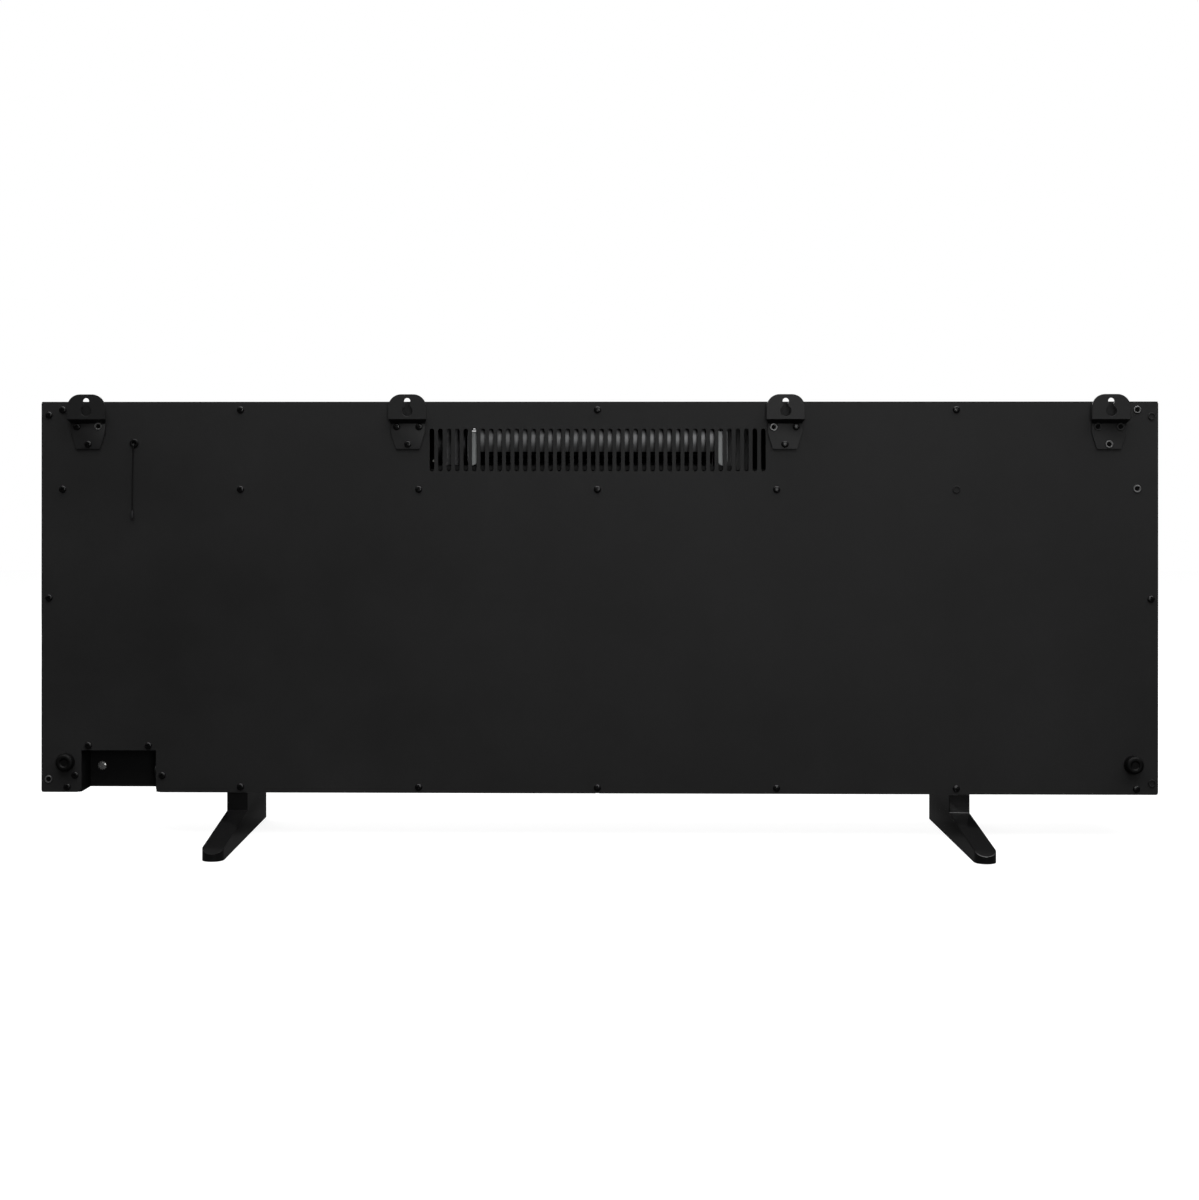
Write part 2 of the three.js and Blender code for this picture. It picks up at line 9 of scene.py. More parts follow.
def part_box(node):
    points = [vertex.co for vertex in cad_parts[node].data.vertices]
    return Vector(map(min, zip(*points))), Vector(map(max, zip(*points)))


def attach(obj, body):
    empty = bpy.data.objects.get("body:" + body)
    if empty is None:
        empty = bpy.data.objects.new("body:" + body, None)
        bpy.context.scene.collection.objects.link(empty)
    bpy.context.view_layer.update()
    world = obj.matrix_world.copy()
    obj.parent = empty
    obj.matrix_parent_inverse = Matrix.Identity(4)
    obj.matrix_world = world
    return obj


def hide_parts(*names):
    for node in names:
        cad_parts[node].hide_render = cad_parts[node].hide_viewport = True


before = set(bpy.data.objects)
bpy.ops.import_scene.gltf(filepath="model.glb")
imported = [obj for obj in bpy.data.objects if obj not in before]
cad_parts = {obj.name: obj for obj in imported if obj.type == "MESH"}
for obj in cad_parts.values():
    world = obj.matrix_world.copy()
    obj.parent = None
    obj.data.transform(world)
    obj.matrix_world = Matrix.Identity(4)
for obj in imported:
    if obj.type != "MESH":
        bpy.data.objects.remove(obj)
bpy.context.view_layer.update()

# ---------------------------------------------------------------------------
# The view: from behind the fireplace, a little above the middle of its back,
# with a short telephoto so that the wide casing keeps nearly parallel edges.
camera_data = bpy.data.cameras.new("view_camera")
camera_data.sensor_width = 36.0
camera_data.lens = 57.62
camera_data.shift_x = 0.0335
camera_data.shift_y = -0.09286
camera = bpy.data.objects.new("view_camera", camera_data)
camera.location = (0.0102, 2.1363, 0.3899)
camera.rotation_euler = (math.radians(89.998), math.radians(-0.02), math.radians(180.865))
bpy.context.scene.collection.objects.link(camera)
bpy.context.scene.camera = camera
bpy.context.scene.view_settings.view_transform = "Standard"

# ---------------------------------------------------------------------------
# Thermostat lead: thin black insulated wire that comes out of a small ringed
# hole high in the back, hangs down the panel and ends in a resin bead.
back_y, panel_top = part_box("back_panel")[1].y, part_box("back_panel")[1].z
lead_hole = Vector((0.5195, back_y, panel_top - 0.0466))
lead_width = 0.0014
bead_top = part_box("sensor_bead")[1].z


def smooth_route(stops, per_leg):
    """Points along a smooth line through the stops, close together at each one."""
    ends = [stops[0] * 2 - stops[1], *stops, stops[-1] * 2 - stops[-2]]
    points = []
    for a, b, c, d in zip(ends, ends[1:], ends[2:], ends[3:]):
        ta = 0.0
        tb = ta + (b - a).length ** 0.5
        tc = tb + (c - b).length ** 0.5
        td = tc + (d - c).length ** 0.5
        for i in range(per_leg):
            t = tb + (tc - tb) * i / per_leg
            p = a * ((tb - t) / (tb - ta)) + b * ((t - ta) / (tb - ta))
            q = b * ((tc - t) / (tc - tb)) + c * ((t - tb) / (tc - tb))
            r = c * ((td - t) / (td - tc)) + d * ((t - tc) / (td - tc))
            pq = p * ((tc - t) / (tc - ta)) + q * ((t - ta) / (tc - ta))
            qr = q * ((td - t) / (td - tb)) + r * ((t - tb) / (td - tb))
            points.append(pq * ((tc - t) / (tc - tb)) + qr * ((t - tb) / (tc - tb)))
    return [*points, stops[-1]]


lead_stops = [
    lead_hole + Vector((0, -0.006, 0)),
    lead_hole + Vector((0, 0.001, 0)),
    lead_hole + Vector((0.0002, 0.0042, -0.003)),
    lead_hole + Vector((0.0006, 0.0034, -0.014)),
    lead_hole + Vector((0.0015, 0.0022, -0.040)),
    Vector((lead_hole.x + 0.0018, back_y + 0.0022, bead_top + 0.0003)),
]
lead_points = smooth_route(lead_stops, 6)
lead_curve = bpy.data.curves.new("thermostat_lead", "CURVE")
lead_curve.dimensions = "3D"
lead_curve.bevel_depth = lead_width / 2
lead_curve.bevel_resolution = 3
lead_curve.use_fill_caps = True
lead_spline = lead_curve.splines.new("POLY")
lead_spline.points.add(len(lead_points) - 1)
for spline_point, place in zip(lead_spline.points, lead_points):
    spline_point.co = (*place, 1.0)
lead = bpy.data.objects.new("thermostat_lead", lead_curve)
bpy.context.scene.collection.objects.link(lead)

lead_skin = bpy.data.materials.new("lead insulation")
lead_skin.use_nodes = True
nodes, links = lead_skin.node_tree.nodes, lead_skin.node_tree.links
shader = nodes["Principled BSDF"]
shader.inputs["Specular IOR Level"].default_value = 0.2
place = nodes.new("ShaderNodeTexCoord")
scuffs = nodes.new("ShaderNodeTexNoise")
scuffs.inputs["Scale"].default_value = 900
sheen_range = nodes.new("ShaderNodeMapRange")
sheen_range.inputs["To Min"].default_value = 0.38
sheen_range.inputs["To Max"].default_value = 0.62
tone = nodes.new("ShaderNodeMix")
tone.data_type = "RGBA"
tone.inputs["A"].default_value = (0.0012, 0.0012, 0.0013, 1)
tone.inputs["B"].default_value = (0.0035, 0.0035, 0.0036, 1)
links.new(place.outputs["Object"], scuffs.inputs["Vector"])
links.new(scuffs.outputs["Fac"], sheen_range.inputs["Value"])
links.new(scuffs.outputs["Fac"], tone.inputs["Factor"])
links.new(tone.outputs["Result"], shader.inputs["Base Color"])
links.new(sheen_range.outputs["Result"], shader.inputs["Roughness"])
lead_curve.materials.append(lead_skin)
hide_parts("sensor_lead")
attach(lead, "housing")

# ---------------------------------------------------------------------------
# Studio: a plain pale floor, one broad softbox overhead, a low weak one behind
# the viewer on the right, one on the glass side, and a dim even room. The floor
# is dimmer to reflections than to the eye, so that black paint stays black.
bpy.ops.mesh.primitive_plane_add(size=14, location=(0, 0, -0.0004))
floor = bpy.context.object
floor.name = "studio_floor"
floor_paint = bpy.data.materials.new("studio floor")
floor_paint.use_nodes = True
nodes, links = floor_paint.node_tree.nodes, floor_paint.node_tree.links
nodes.remove(nodes["Principled BSDF"])
seen = nodes.new("ShaderNodeLightPath")
pale = nodes.new("ShaderNodeBsdfDiffuse")
pale.inputs["Color"].default_value = (0.25, 0.25, 0.25, 1)
glow = nodes.new("ShaderNodeEmission")
glow.inputs["Strength"].default_value = 0.9
lit_floor = nodes.new("ShaderNodeAddShader")
dim_floor = nodes.new("ShaderNodeBsdfDiffuse")
dim_floor.inputs["Color"].default_value = (0.03, 0.03, 0.03, 1)
close_by = nodes.new("ShaderNodeMapRange")
close_by.inputs["From Min"].default_value = 0.02
close_by.inputs["From Max"].default_value = 0.16
close_by.inputs["To Min"].default_value = 0.022
close_by.inputs["To Max"].default_value = 0.0
faint_bounce = nodes.new("ShaderNodeEmission")
seen_in_gloss = nodes.new("ShaderNodeAddShader")
either = nodes.new("ShaderNodeMixShader")
links.new(pale.outputs["BSDF"], lit_floor.inputs[0])
links.new(glow.outputs["Emission"], lit_floor.inputs[1])
links.new(seen.outputs["Is Camera Ray"], either.inputs["Fac"])
links.new(seen.outputs["Ray Length"], close_by.inputs["Value"])
links.new(close_by.outputs["Result"], faint_bounce.inputs["Strength"])
links.new(dim_floor.outputs["BSDF"], seen_in_gloss.inputs[0])
links.new(faint_bounce.outputs["Emission"], seen_in_gloss.inputs[1])
links.new(seen_in_gloss.outputs["Shader"], either.inputs[1])
links.new(lit_floor.outputs["Shader"], either.inputs[2])
links.new(either.outputs["Shader"], nodes["Material Output"].inputs["Surface"])
floor.data.materials.append(floor_paint)

room = bpy.data.worlds.new("studio room")
room.use_nodes = True
bpy.context.scene.world = room
nodes, links = room.node_tree.nodes, room.node_tree.links
seen = nodes.new("ShaderNodeLightPath")
backdrop = nodes["Background"]
backdrop.inputs["Color"].default_value = (1, 1, 1, 1)
backdrop.inputs["Strength"].default_value = 1.0
sky = nodes.new("ShaderNodeTexCoord")
height = nodes.new("ShaderNodeSeparateXYZ")
ceiling_light = nodes.new("ShaderNodeMapRange")
ceiling_light.inputs["From Min"].default_value = 0.1
ceiling_light.inputs["From Max"].default_value = 0.8
ceiling_light.inputs["To Min"].default_value = 0.045
ceiling_light.inputs["To Max"].default_value = 0.4
dim_room = nodes.new("ShaderNodeBackground")
dim_room.inputs["Color"].default_value = (1, 1, 1, 1)
either = nodes.new("ShaderNodeMixShader")
links.new(sky.outputs["Generated"], height.inputs["Vector"])
links.new(height.outputs["Z"], ceiling_light.inputs["Value"])
links.new(ceiling_light.outputs["Result"], dim_room.inputs["Strength"])
links.new(seen.outputs["Is Camera Ray"], either.inputs["Fac"])
links.new(dim_room.outputs["Background"], either.inputs[1])
links.new(backdrop.outputs["Background"], either.inputs[2])
links.new(either.outputs["Shader"], nodes["World Output"].inputs["Surface"])


def softbox(name, place, aim, width, height, power):
    """A rectangular studio light that faces a point."""
    lamp = bpy.data.lights.new(name, "AREA")
    lamp.shape = "RECTANGLE"
    lamp.size, lamp.size_y, lamp.energy = width, height, power
    box = bpy.data.objects.new(name, lamp)
    box.location = place
    box.rotation_euler = (Vector(aim) - Vector(place)).to_track_quat("-Z", "Y").to_euler()
    bpy.context.scene.collection.objects.link(box)


softbox("overhead_softbox", (-0.5, 0.9, 3.2), (0, 0.2, 0), 5.0, 4.0, 200)
softbox("rear_right_softbox", (-0.65, 3.3, 0.75), (0, 0, 0.32), 0.6, 1.3, 14)
softbox("front_softbox", (1.4, -3.2, 1.8), (0, 0, 0.25), 2.4, 1.6, 95)

# ---------------------------------------------------------------------------
# Back panel: one flat steel sheet with pressed vent slots, in matt black
# fine-texture powder coat, screwed to the flanges of the casing.


def eased_copy(node, name, edge, segments=2, angle=35):
    """A CAD part copied as one joined mesh, its sharp edges eased as pressing leaves them."""
    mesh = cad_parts[node].data.copy()
    mesh.name = name
    mesh.materials.clear()
    work = bmesh.new()
    work.from_mesh(mesh)
    bmesh.ops.remove_doubles(work, verts=work.verts, dist=1e-6)
    bmesh.ops.dissolve_limit(
        work, angle_limit=math.radians(0.5), verts=work.verts, edges=work.edges)
    work.to_mesh(mesh)
    work.free()
    mesh.polygons.foreach_set("use_smooth", [True] * len(mesh.polygons))
    mesh.set_sharp_from_angle(angle=math.radians(angle))
    piece = bpy.data.objects.new(name, mesh)
    bpy.context.scene.collection.objects.link(piece)
    if edge > 0:
        easing = piece.modifiers.new("eased edges", "BEVEL")
        easing.width = edge
        easing.segments = segments
        easing.limit_method = "ANGLE"
        easing.angle_limit = math.radians(angle)
        easing.harden_normals = True
    return piece


def settle(piece, node, body="housing"):
    """The piece stands for its CAD part, which it hides, and rides on its body."""
    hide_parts(node)
    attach(piece, body)


coat_texture = bpy.data.node_groups.new("textured coat", "ShaderNodeTree")
for title, kind, start in (
        ("Paint", "NodeSocketColor", (0.01, 0.01, 0.01, 1)),
        ("Dust", "NodeSocketColor", (0.05, 0.05, 0.05, 1)),
        ("Dust Amount", "NodeSocketFloat", 0.15),
        ("Grain Size", "NodeSocketFloat", 0.0008),
        ("Roughness Low", "NodeSocketFloat", 0.45),
        ("Roughness High", "NodeSocketFloat", 0.65)):
    coat_texture.interface.new_socket(title, in_out="INPUT", socket_type=kind).default_value = start
for title, kind in (("Color", "NodeSocketColor"), ("Roughness", "NodeSocketFloat"),
                    ("Height", "NodeSocketFloat")):
    coat_texture.interface.new_socket(title, in_out="OUTPUT", socket_type=kind)
nodes, links = coat_texture.nodes, coat_texture.links
given, result = nodes.new("NodeGroupInput"), nodes.new("NodeGroupOutput")
place = nodes.new("ShaderNodeTexCoord")
pitch = nodes.new("ShaderNodeMath")
pitch.operation = "DIVIDE"
pitch.inputs[0].default_value = 1.0
links.new(given.outputs["Grain Size"], pitch.inputs[1])
grain = nodes.new("ShaderNodeTexNoise")
grain.inputs["Detail"].default_value = 2.0
links.new(place.outputs["Object"], grain.inputs["Vector"])
links.new(pitch.outputs["Value"], grain.inputs["Scale"])
smudges = nodes.new("ShaderNodeTexNoise")
smudges.inputs["Scale"].default_value = 5.5
smudges.inputs["Detail"].default_value = 5.0
smudges.inputs["Roughness"].default_value = 0.62
links.new(place.outputs["Object"], smudges.inputs["Vector"])
settled = nodes.new("ShaderNodeMapRange")
settled.inputs["From Min"].default_value = 0.35
settled.inputs["From Max"].default_value = 0.75
links.new(smudges.outputs["Fac"], settled.inputs["Value"])
specks = nodes.new("ShaderNodeMath")
specks.operation = "MULTIPLY"
links.new(settled.outputs["Result"], specks.inputs[0])
links.new(grain.outputs["Fac"], specks.inputs[1])
dusted = nodes.new("ShaderNodeMath")
dusted.operation = "MULTIPLY"
links.new(specks.outputs["Value"], dusted.inputs[0])
links.new(given.outputs["Dust Amount"], dusted.inputs[1])
coloured = nodes.new("ShaderNodeMix")
coloured.data_type = "RGBA"
links.new(dusted.outputs["Value"], coloured.inputs["Factor"])
links.new(given.outputs["Paint"], coloured.inputs["A"])
links.new(given.outputs["Dust"], coloured.inputs["B"])
links.new(coloured.outputs["Result"], result.inputs["Color"])
gloss = nodes.new("ShaderNodeMapRange")
links.new(smudges.outputs["Fac"], gloss.inputs["Value"])
links.new(given.outputs["Roughness Low"], gloss.inputs["To Min"])
links.new(given.outputs["Roughness High"], gloss.inputs["To Max"])
links.new(gloss.outputs["Result"], result.inputs["Roughness"])
links.new(grain.outputs["Fac"], result.inputs["Height"])


def coated(name, paint, dust, dust_amount, grain_size, roughness, specular, bump, metallic=0.0):
    """A painted or moulded finish with a fine grain, uneven sheen and a little dust."""
    finish = bpy.data.materials.new(name)
    finish.use_nodes = True
    tree = finish.node_tree
    shader = tree.nodes["Principled BSDF"]
    shader.inputs["Specular IOR Level"].default_value = specular
    shader.inputs["Metallic"].default_value = metallic
    coat = tree.nodes.new("ShaderNodeGroup")
    coat.node_tree = coat_texture
    coat.inputs["Paint"].default_value = (*paint, 1)
    coat.inputs["Dust"].default_value = (*dust, 1)
    coat.inputs["Dust Amount"].default_value = dust_amount
    coat.inputs["Grain Size"].default_value = grain_size
    coat.inputs["Roughness Low"].default_value = roughness[0]
    coat.inputs["Roughness High"].default_value = roughness[1]
    relief = tree.nodes.new("ShaderNodeBump")
    relief.inputs["Strength"].default_value = 0.6
    relief.inputs["Distance"].default_value = bump
    tree.links.new(coat.outputs["Color"], shader.inputs["Base Color"])
    tree.links.new(coat.outputs["Roughness"], shader.inputs["Roughness"])
    tree.links.new(coat.outputs["Height"], relief.inputs["Height"])
    tree.links.new(relief.outputs["Normal"], shader.inputs["Normal"])
    return finish


panel_coat = coated("black powder coat", (0.007, 0.007, 0.0071), (0.05, 0.05, 0.051), 0.25,
                    0.0009, (0.5, 0.66), 0.3, 0.0001)
panel = eased_copy("back_panel", "back_panel_sheet", 0.0004)
panel.data.materials.append(panel_coat)
settle(panel, "back_panel")

# ---------------------------------------------------------------------------
# Casing: one steel sheet folded round the top, ends and bottom, its flanges
# turned in for the panel screws, in the same powder coat as the panel.
casing = eased_copy("casing", "casing_wrap", 0.0006)
casing.data.materials.append(panel_coat)
settle(casing, "casing")

# ---------------------------------------------------------------------------
# Cord recess: a folded pocket screwed behind the notch in the panel, with a
# nylon gland for the mains lead in its side and a bright earth screw.
# Blacker than the panel's coat: the extra darkness is painted shade of the pocket's hollow, and the
# same coat goes on the blower shelf.
black_coat_painted_shade = coated("black coat with painted shade", (0.002, 0.002, 0.0021), (0.02, 0.02, 0.021), 0.1,
                     0.0009, (0.5, 0.7), 0.25, 0.00006)
recess = eased_copy("recess_box", "cord_recess_pocket", 0.0004)
recess.data.materials.append(black_coat_painted_shade)
settle(recess, "recess_box")
nylon = coated("black nylon", (0.006, 0.006, 0.0062), (0.03, 0.03, 0.03), 0.1, 0.0005,
               (0.38, 0.55), 0.45, 0.00003)
gland = eased_copy("mains_gland", "mains_lead_gland", 0.0004)
gland.data.materials.append(nylon)
settle(gland, "mains_gland")

metal_texture = bpy.data.node_groups.new("bare metal", "ShaderNodeTree")
for title, kind, start in (
        ("Light", "NodeSocketColor", (0.6, 0.6, 0.6, 1)),
        ("Dark", "NodeSocketColor", (0.4, 0.4, 0.4, 1)),
        ("Crystal Size", "NodeSocketFloat", 0.006),
        ("Roughness Low", "NodeSocketFloat", 0.25),
        ("Roughness High", "NodeSocketFloat", 0.45)):
    metal_texture.interface.new_socket(
        title, in_out="INPUT", socket_type=kind).default_value = start
for title, kind in (("Color", "NodeSocketColor"), ("Roughness", "NodeSocketFloat")):
    metal_texture.interface.new_socket(title, in_out="OUTPUT", socket_type=kind)
nodes, links = metal_texture.nodes, metal_texture.links
given, result = nodes.new("NodeGroupInput"), nodes.new("NodeGroupOutput")
place = nodes.new("ShaderNodeTexCoord")
pitch = nodes.new("ShaderNodeMath")
pitch.operation = "DIVIDE"
pitch.inputs[0].default_value = 1.0
links.new(given.outputs["Crystal Size"], pitch.inputs[1])
spangle = nodes.new("ShaderNodeTexVoronoi")
links.new(place.outputs["Object"], spangle.inputs["Vector"])
links.new(pitch.outputs["Value"], spangle.inputs["Scale"])
shade = nodes.new("ShaderNodeSeparateColor")
links.new(spangle.outputs["Color"], shade.inputs["Color"])
streaks = nodes.new("ShaderNodeTexNoise")
streaks.inputs["Scale"].default_value = 60
streaks.inputs["Detail"].default_value = 4
links.new(place.outputs["Object"], streaks.inputs["Vector"])
blended = nodes.new("ShaderNodeMath")
blended.operation = "MULTIPLY_ADD"
blended.inputs[1].default_value = 0.45
links.new(shade.outputs["Red"], blended.inputs[0])
links.new(streaks.outputs["Fac"], blended.inputs[2])
coloured = nodes.new("ShaderNodeMix")
coloured.data_type = "RGBA"
links.new(blended.outputs["Value"], coloured.inputs["Factor"])
links.new(given.outputs["Dark"], coloured.inputs["A"])
links.new(given.outputs["Light"], coloured.inputs["B"])
links.new(coloured.outputs["Result"], result.inputs["Color"])
gloss = nodes.new("ShaderNodeMapRange")
links.new(blended.outputs["Value"], gloss.inputs["Value"])
links.new(given.outputs["Roughness Low"], gloss.inputs["To Min"])
links.new(given.outputs["Roughness High"], gloss.inputs["To Max"])
links.new(gloss.outputs["Result"], result.inputs["Roughness"])


def plated(name, light, dark, crystal, roughness):
    """Bare or plated metal with a faint crystal pattern and an uneven shine."""
    finish = bpy.data.materials.new(name)
    finish.use_nodes = True
    tree = finish.node_tree
    shader = tree.nodes["Principled BSDF"]
    shader.inputs["Metallic"].default_value = 1.0
    skin = tree.nodes.new("ShaderNodeGroup")
    skin.node_tree = metal_texture
    skin.inputs["Light"].default_value = (*light, 1)
    skin.inputs["Dark"].default_value = (*dark, 1)
    skin.inputs["Crystal Size"].default_value = crystal
    skin.inputs["Roughness Low"].default_value = roughness[0]
    skin.inputs["Roughness High"].default_value = roughness[1]
    tree.links.new(skin.outputs["Color"], shader.inputs["Base Color"])
    tree.links.new(skin.outputs["Roughness"], shader.inputs["Roughness"])
    return finish


bright_zinc = plated("bright zinc", (0.86, 0.87, 0.86), (0.6, 0.6, 0.58), 0.002, (0.18, 0.32))
earth_screw = eased_copy("earth_screw", "earth_terminal_screw", 0.0006, 3)
earth_screw.data.materials.append(bright_zinc)
settle(earth_screw, "earth_screw")
earth_low, earth_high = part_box("earth_screw")
earth_centre = (earth_low + earth_high) / 2
washer_mesh = bpy.data.meshes.new("earth_star_washer")
washer_work = bmesh.new()
teeth, hole_radius, root_radius, tip_radius = 12, 0.0024, 0.0043, 0.0052
washer_face, washer_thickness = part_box("recess_box")[0].y + 0.0012 + 0.0003, 0.0006
washer_rings = []
for depth in (0.0, washer_thickness):
    for root, tip in ((root_radius, tip_radius), (hole_radius, hole_radius)):
        washer_rings.append([
            washer_work.verts.new((
                earth_centre.x + (root if i % 2 else tip) * math.cos(math.pi * i / teeth),
                washer_face + depth,
                earth_centre.z + (root if i % 2 else tip) * math.sin(math.pi * i / teeth)))
            for i in range(teeth * 2)])
outer_back, inner_back, outer_front, inner_front = washer_rings
for i in range(teeth * 2):
    j = (i + 1) % (teeth * 2)
    for a, b in ((outer_back, outer_front), (inner_back, inner_front),
                 (outer_back, inner_back), (outer_front, inner_front)):
        washer_work.faces.new((a[i], a[j], b[j], b[i]))
bmesh.ops.recalc_face_normals(washer_work, faces=washer_work.faces)
washer_work.to_mesh(washer_mesh)
washer_work.free()
earth_washer = bpy.data.objects.new("earth_star_washer", washer_mesh)
bpy.context.scene.collection.objects.link(earth_washer)
earth_washer.data.materials.append(bright_zinc)
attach(earth_washer, "housing")

# ---------------------------------------------------------------------------
# Wall hangers: joggled straps pressed from 2 mm steel, satin black, each with
# a keyhole in its raised plate and three fasteners through its tab.
hanger_paint = coated("hanger satin black", (0.0048, 0.0048, 0.005), (0.04, 0.04, 0.041), 0.15,
                      0.0012, (0.4, 0.55), 0.35, 0.00004)
for number in range(1, 5):
    hanger = eased_copy(f"hanger_{number}", f"wall_hanger_{number}", 0.00025, 2)
    hanger.data.materials.append(hanger_paint)
    settle(hanger, f"hanger_{number}")

# ---------------------------------------------------------------------------
# Panel fasteners: domed cross-head screws, blackened, in columns 200 mm apart
# and along the edges, and blind rivets whose bright rims show where bare; one rim under a hanger plate
# is brightened as painted light, and the near-black mandrel ends are painted shade.
def revolved(name, outline, sides):
    """A closed body turned about +Y from (radius, height) points that start and end on the axis."""
    mesh = bpy.data.meshes.new(name)
    work = bmesh.new()
    first = work.verts.new((0, outline[0][1], 0))
    last = work.verts.new((0, outline[-1][1], 0))
    rings = []
    for radius, height in outline[1:-1]:
        rings.append([
            work.verts.new((radius * math.cos(2 * math.pi * i / sides), height,
                            radius * math.sin(2 * math.pi * i / sides)))
            for i in range(sides)])
    for i in range(sides):
        j = (i + 1) % sides
        work.faces.new((first, rings[0][i], rings[0][j]))
        work.faces.new((last, rings[-1][j], rings[-1][i]))
        for inner, outer in zip(rings, rings[1:]):
            work.faces.new((inner[i], outer[i], outer[j], inner[j]))
    bmesh.ops.recalc_face_normals(work, faces=work.faces)
    work.to_mesh(mesh)
    work.free()
    mesh.polygons.foreach_set("use_smooth", [True] * len(mesh.polygons))
    mesh.set_sharp_from_angle(angle=math.radians(40))
    body = bpy.data.objects.new(name, mesh)
    bpy.context.scene.collection.objects.link(body)
    return body


def cross_punch(name, arm, half_width, mouth, floor_height):
    """The tapered cross of a screwdriver bit, pointing down -Y."""
    mesh = bpy.data.meshes.new(name)
    work = bmesh.new()
    corners = []
    for quarter in range(4):
        turn = Matrix.Rotation(quarter * math.pi / 2, 3, "Y")
        for x, z in ((half_width, -half_width), (arm, -half_width), (arm, half_width)):
            corners.append(turn @ Vector((x, 0, z)))
    order = sorted(corners, key=lambda c: math.atan2(c.z, c.x))
    top = [work.verts.new((c.x, mouth, c.z)) for c in order]
    low = [work.verts.new((c.x * 0.55, floor_height, c.z * 0.55)) for c in order]
    work.faces.new(top)
    work.faces.new(low)
    for i in range(len(order)):
        j = (i + 1) % len(order)
        work.faces.new((top[i], top[j], low[j], low[i]))
    bmesh.ops.recalc_face_normals(work, faces=work.faces)
    work.to_mesh(mesh)
    work.free()
    body = bpy.data.objects.new(name, mesh)
    bpy.context.scene.collection.objects.link(body)
    return body


def baked(piece):
    """The piece with its modifiers turned into plain mesh, and its modifiers gone."""
    bpy.context.view_layer.update()
    shaped = bpy.data.meshes.new_from_object(
        piece.evaluated_get(bpy.context.evaluated_depsgraph_get()))
    piece.modifiers.clear()
    piece.data = shaped
    return piece


screw_head = revolved("screw_head", [
    (0, -0.0004), (0.0039, -0.0004), (0.0041, 0.0003), (0.0040, 0.0011), (0.0036, 0.0017),
    (0.0030, 0.0020), (0.0014, 0.00212), (0, 0.00215)], 20)
driver_bit = cross_punch("driver_bit", 0.0024, 0.00052, 0.0026, 0.0006)
recessing = screw_head.modifiers.new("cross recess", "BOOLEAN")
recessing.operation = "DIFFERENCE"
recessing.object = driver_bit
recessing.solver = "EXACT"
baked(screw_head)
bpy.data.objects.remove(driver_bit)

rivet_rim = revolved("rivet_rim", [
    (0, -0.0004), (0.0041, -0.0004), (0.0043, 0.0002), (0.0042, 0.0009), (0.0038, 0.0014),
    (0.0033, 0.0014), (0.0030, 0.0009), (0.0029, 0.0001), (0, 0.0001)], 24)
rivet_core = revolved("rivet_core", [
    (0, 0.00005), (0.0027, 0.00005), (0.0027, 0.0003), (0.0012, 0.0003), (0.0010, 0.0007),
    (0, 0.0008)], 18)

fastener_tree = bpy.data.node_groups.new("fasteners on points", "GeometryNodeTree")
fastener_tree.interface.new_socket(
    "Geometry", in_out="INPUT", socket_type="NodeSocketGeometry")
head_input = fastener_tree.interface.new_socket(
    "Head", in_out="INPUT", socket_type="NodeSocketObject")
turn_input = fastener_tree.interface.new_socket(
    "Most Turn", in_out="INPUT", socket_type="NodeSocketFloat")
size_input = fastener_tree.interface.new_socket(
    "Size Spread", in_out="INPUT", socket_type="NodeSocketFloat")
seed_input = fastener_tree.interface.new_socket(
    "Seed", in_out="INPUT", socket_type="NodeSocketInt")
finish_input = fastener_tree.interface.new_socket(
    "Finish", in_out="INPUT", socket_type="NodeSocketMaterial")
fastener_tree.interface.new_socket(
    "Geometry", in_out="OUTPUT", socket_type="NodeSocketGeometry")
nodes, links = fastener_tree.nodes, fastener_tree.links
given, result = nodes.new("NodeGroupInput"), nodes.new("NodeGroupOutput")
head_shape = nodes.new("GeometryNodeObjectInfo")
turn_axis = nodes.new("ShaderNodeCombineXYZ")
turned = nodes.new("FunctionNodeRandomValue")
turned.data_type = "FLOAT_VECTOR"
least = nodes.new("ShaderNodeMath")
least.operation = "SUBTRACT"
least.inputs[0].default_value = 1.0
sized = nodes.new("FunctionNodeRandomValue")
sized.data_type = "FLOAT"
sized.inputs[3].default_value = 1.0
planted = nodes.new("GeometryNodeInstanceOnPoints")
made_real = nodes.new("GeometryNodeRealizeInstances")
painted = nodes.new("GeometryNodeSetMaterial")
links.new(given.outputs["Head"], head_shape.inputs["Object"])
links.new(given.outputs["Most Turn"], turn_axis.inputs["Y"])
links.new(turn_axis.outputs["Vector"], turned.inputs[1])
links.new(given.outputs["Seed"], turned.inputs["Seed"])
links.new(given.outputs["Size Spread"], least.inputs[1])
links.new(least.outputs["Value"], sized.inputs[2])
links.new(given.outputs["Seed"], sized.inputs["Seed"])
links.new(given.outputs["Geometry"], planted.inputs["Points"])
links.new(head_shape.outputs["Geometry"], planted.inputs["Instance"])
links.new(turned.outputs[0], planted.inputs["Rotation"])
links.new(sized.outputs[1], planted.inputs["Scale"])
links.new(planted.outputs["Instances"], made_real.inputs["Geometry"])
links.new(made_real.outputs["Geometry"], painted.inputs["Geometry"])
links.new(given.outputs["Finish"], painted.inputs["Material"])
links.new(painted.outputs["Geometry"], result.inputs["Geometry"])


def fasten(name, places, head, finish, seed, most_turn=1.5, spread=0.04):
    """One mesh of equal fasteners, one on each place, each turned a little differently."""
    mesh = bpy.data.meshes.new(name)
    mesh.from_pydata([tuple(p) for p in places], [], [])
    row = bpy.data.objects.new(name, mesh)
    bpy.context.scene.collection.objects.link(row)
    planting = row.modifiers.new("planted", "NODES")
    planting.node_group = fastener_tree
    planting[head_input.identifier] = head
    planting[turn_input.identifier] = most_turn
    planting[size_input.identifier] = spread
    planting[seed_input.identifier] = seed
    planting[finish_input.identifier] = finish
    baked(row)
    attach(row, "housing")


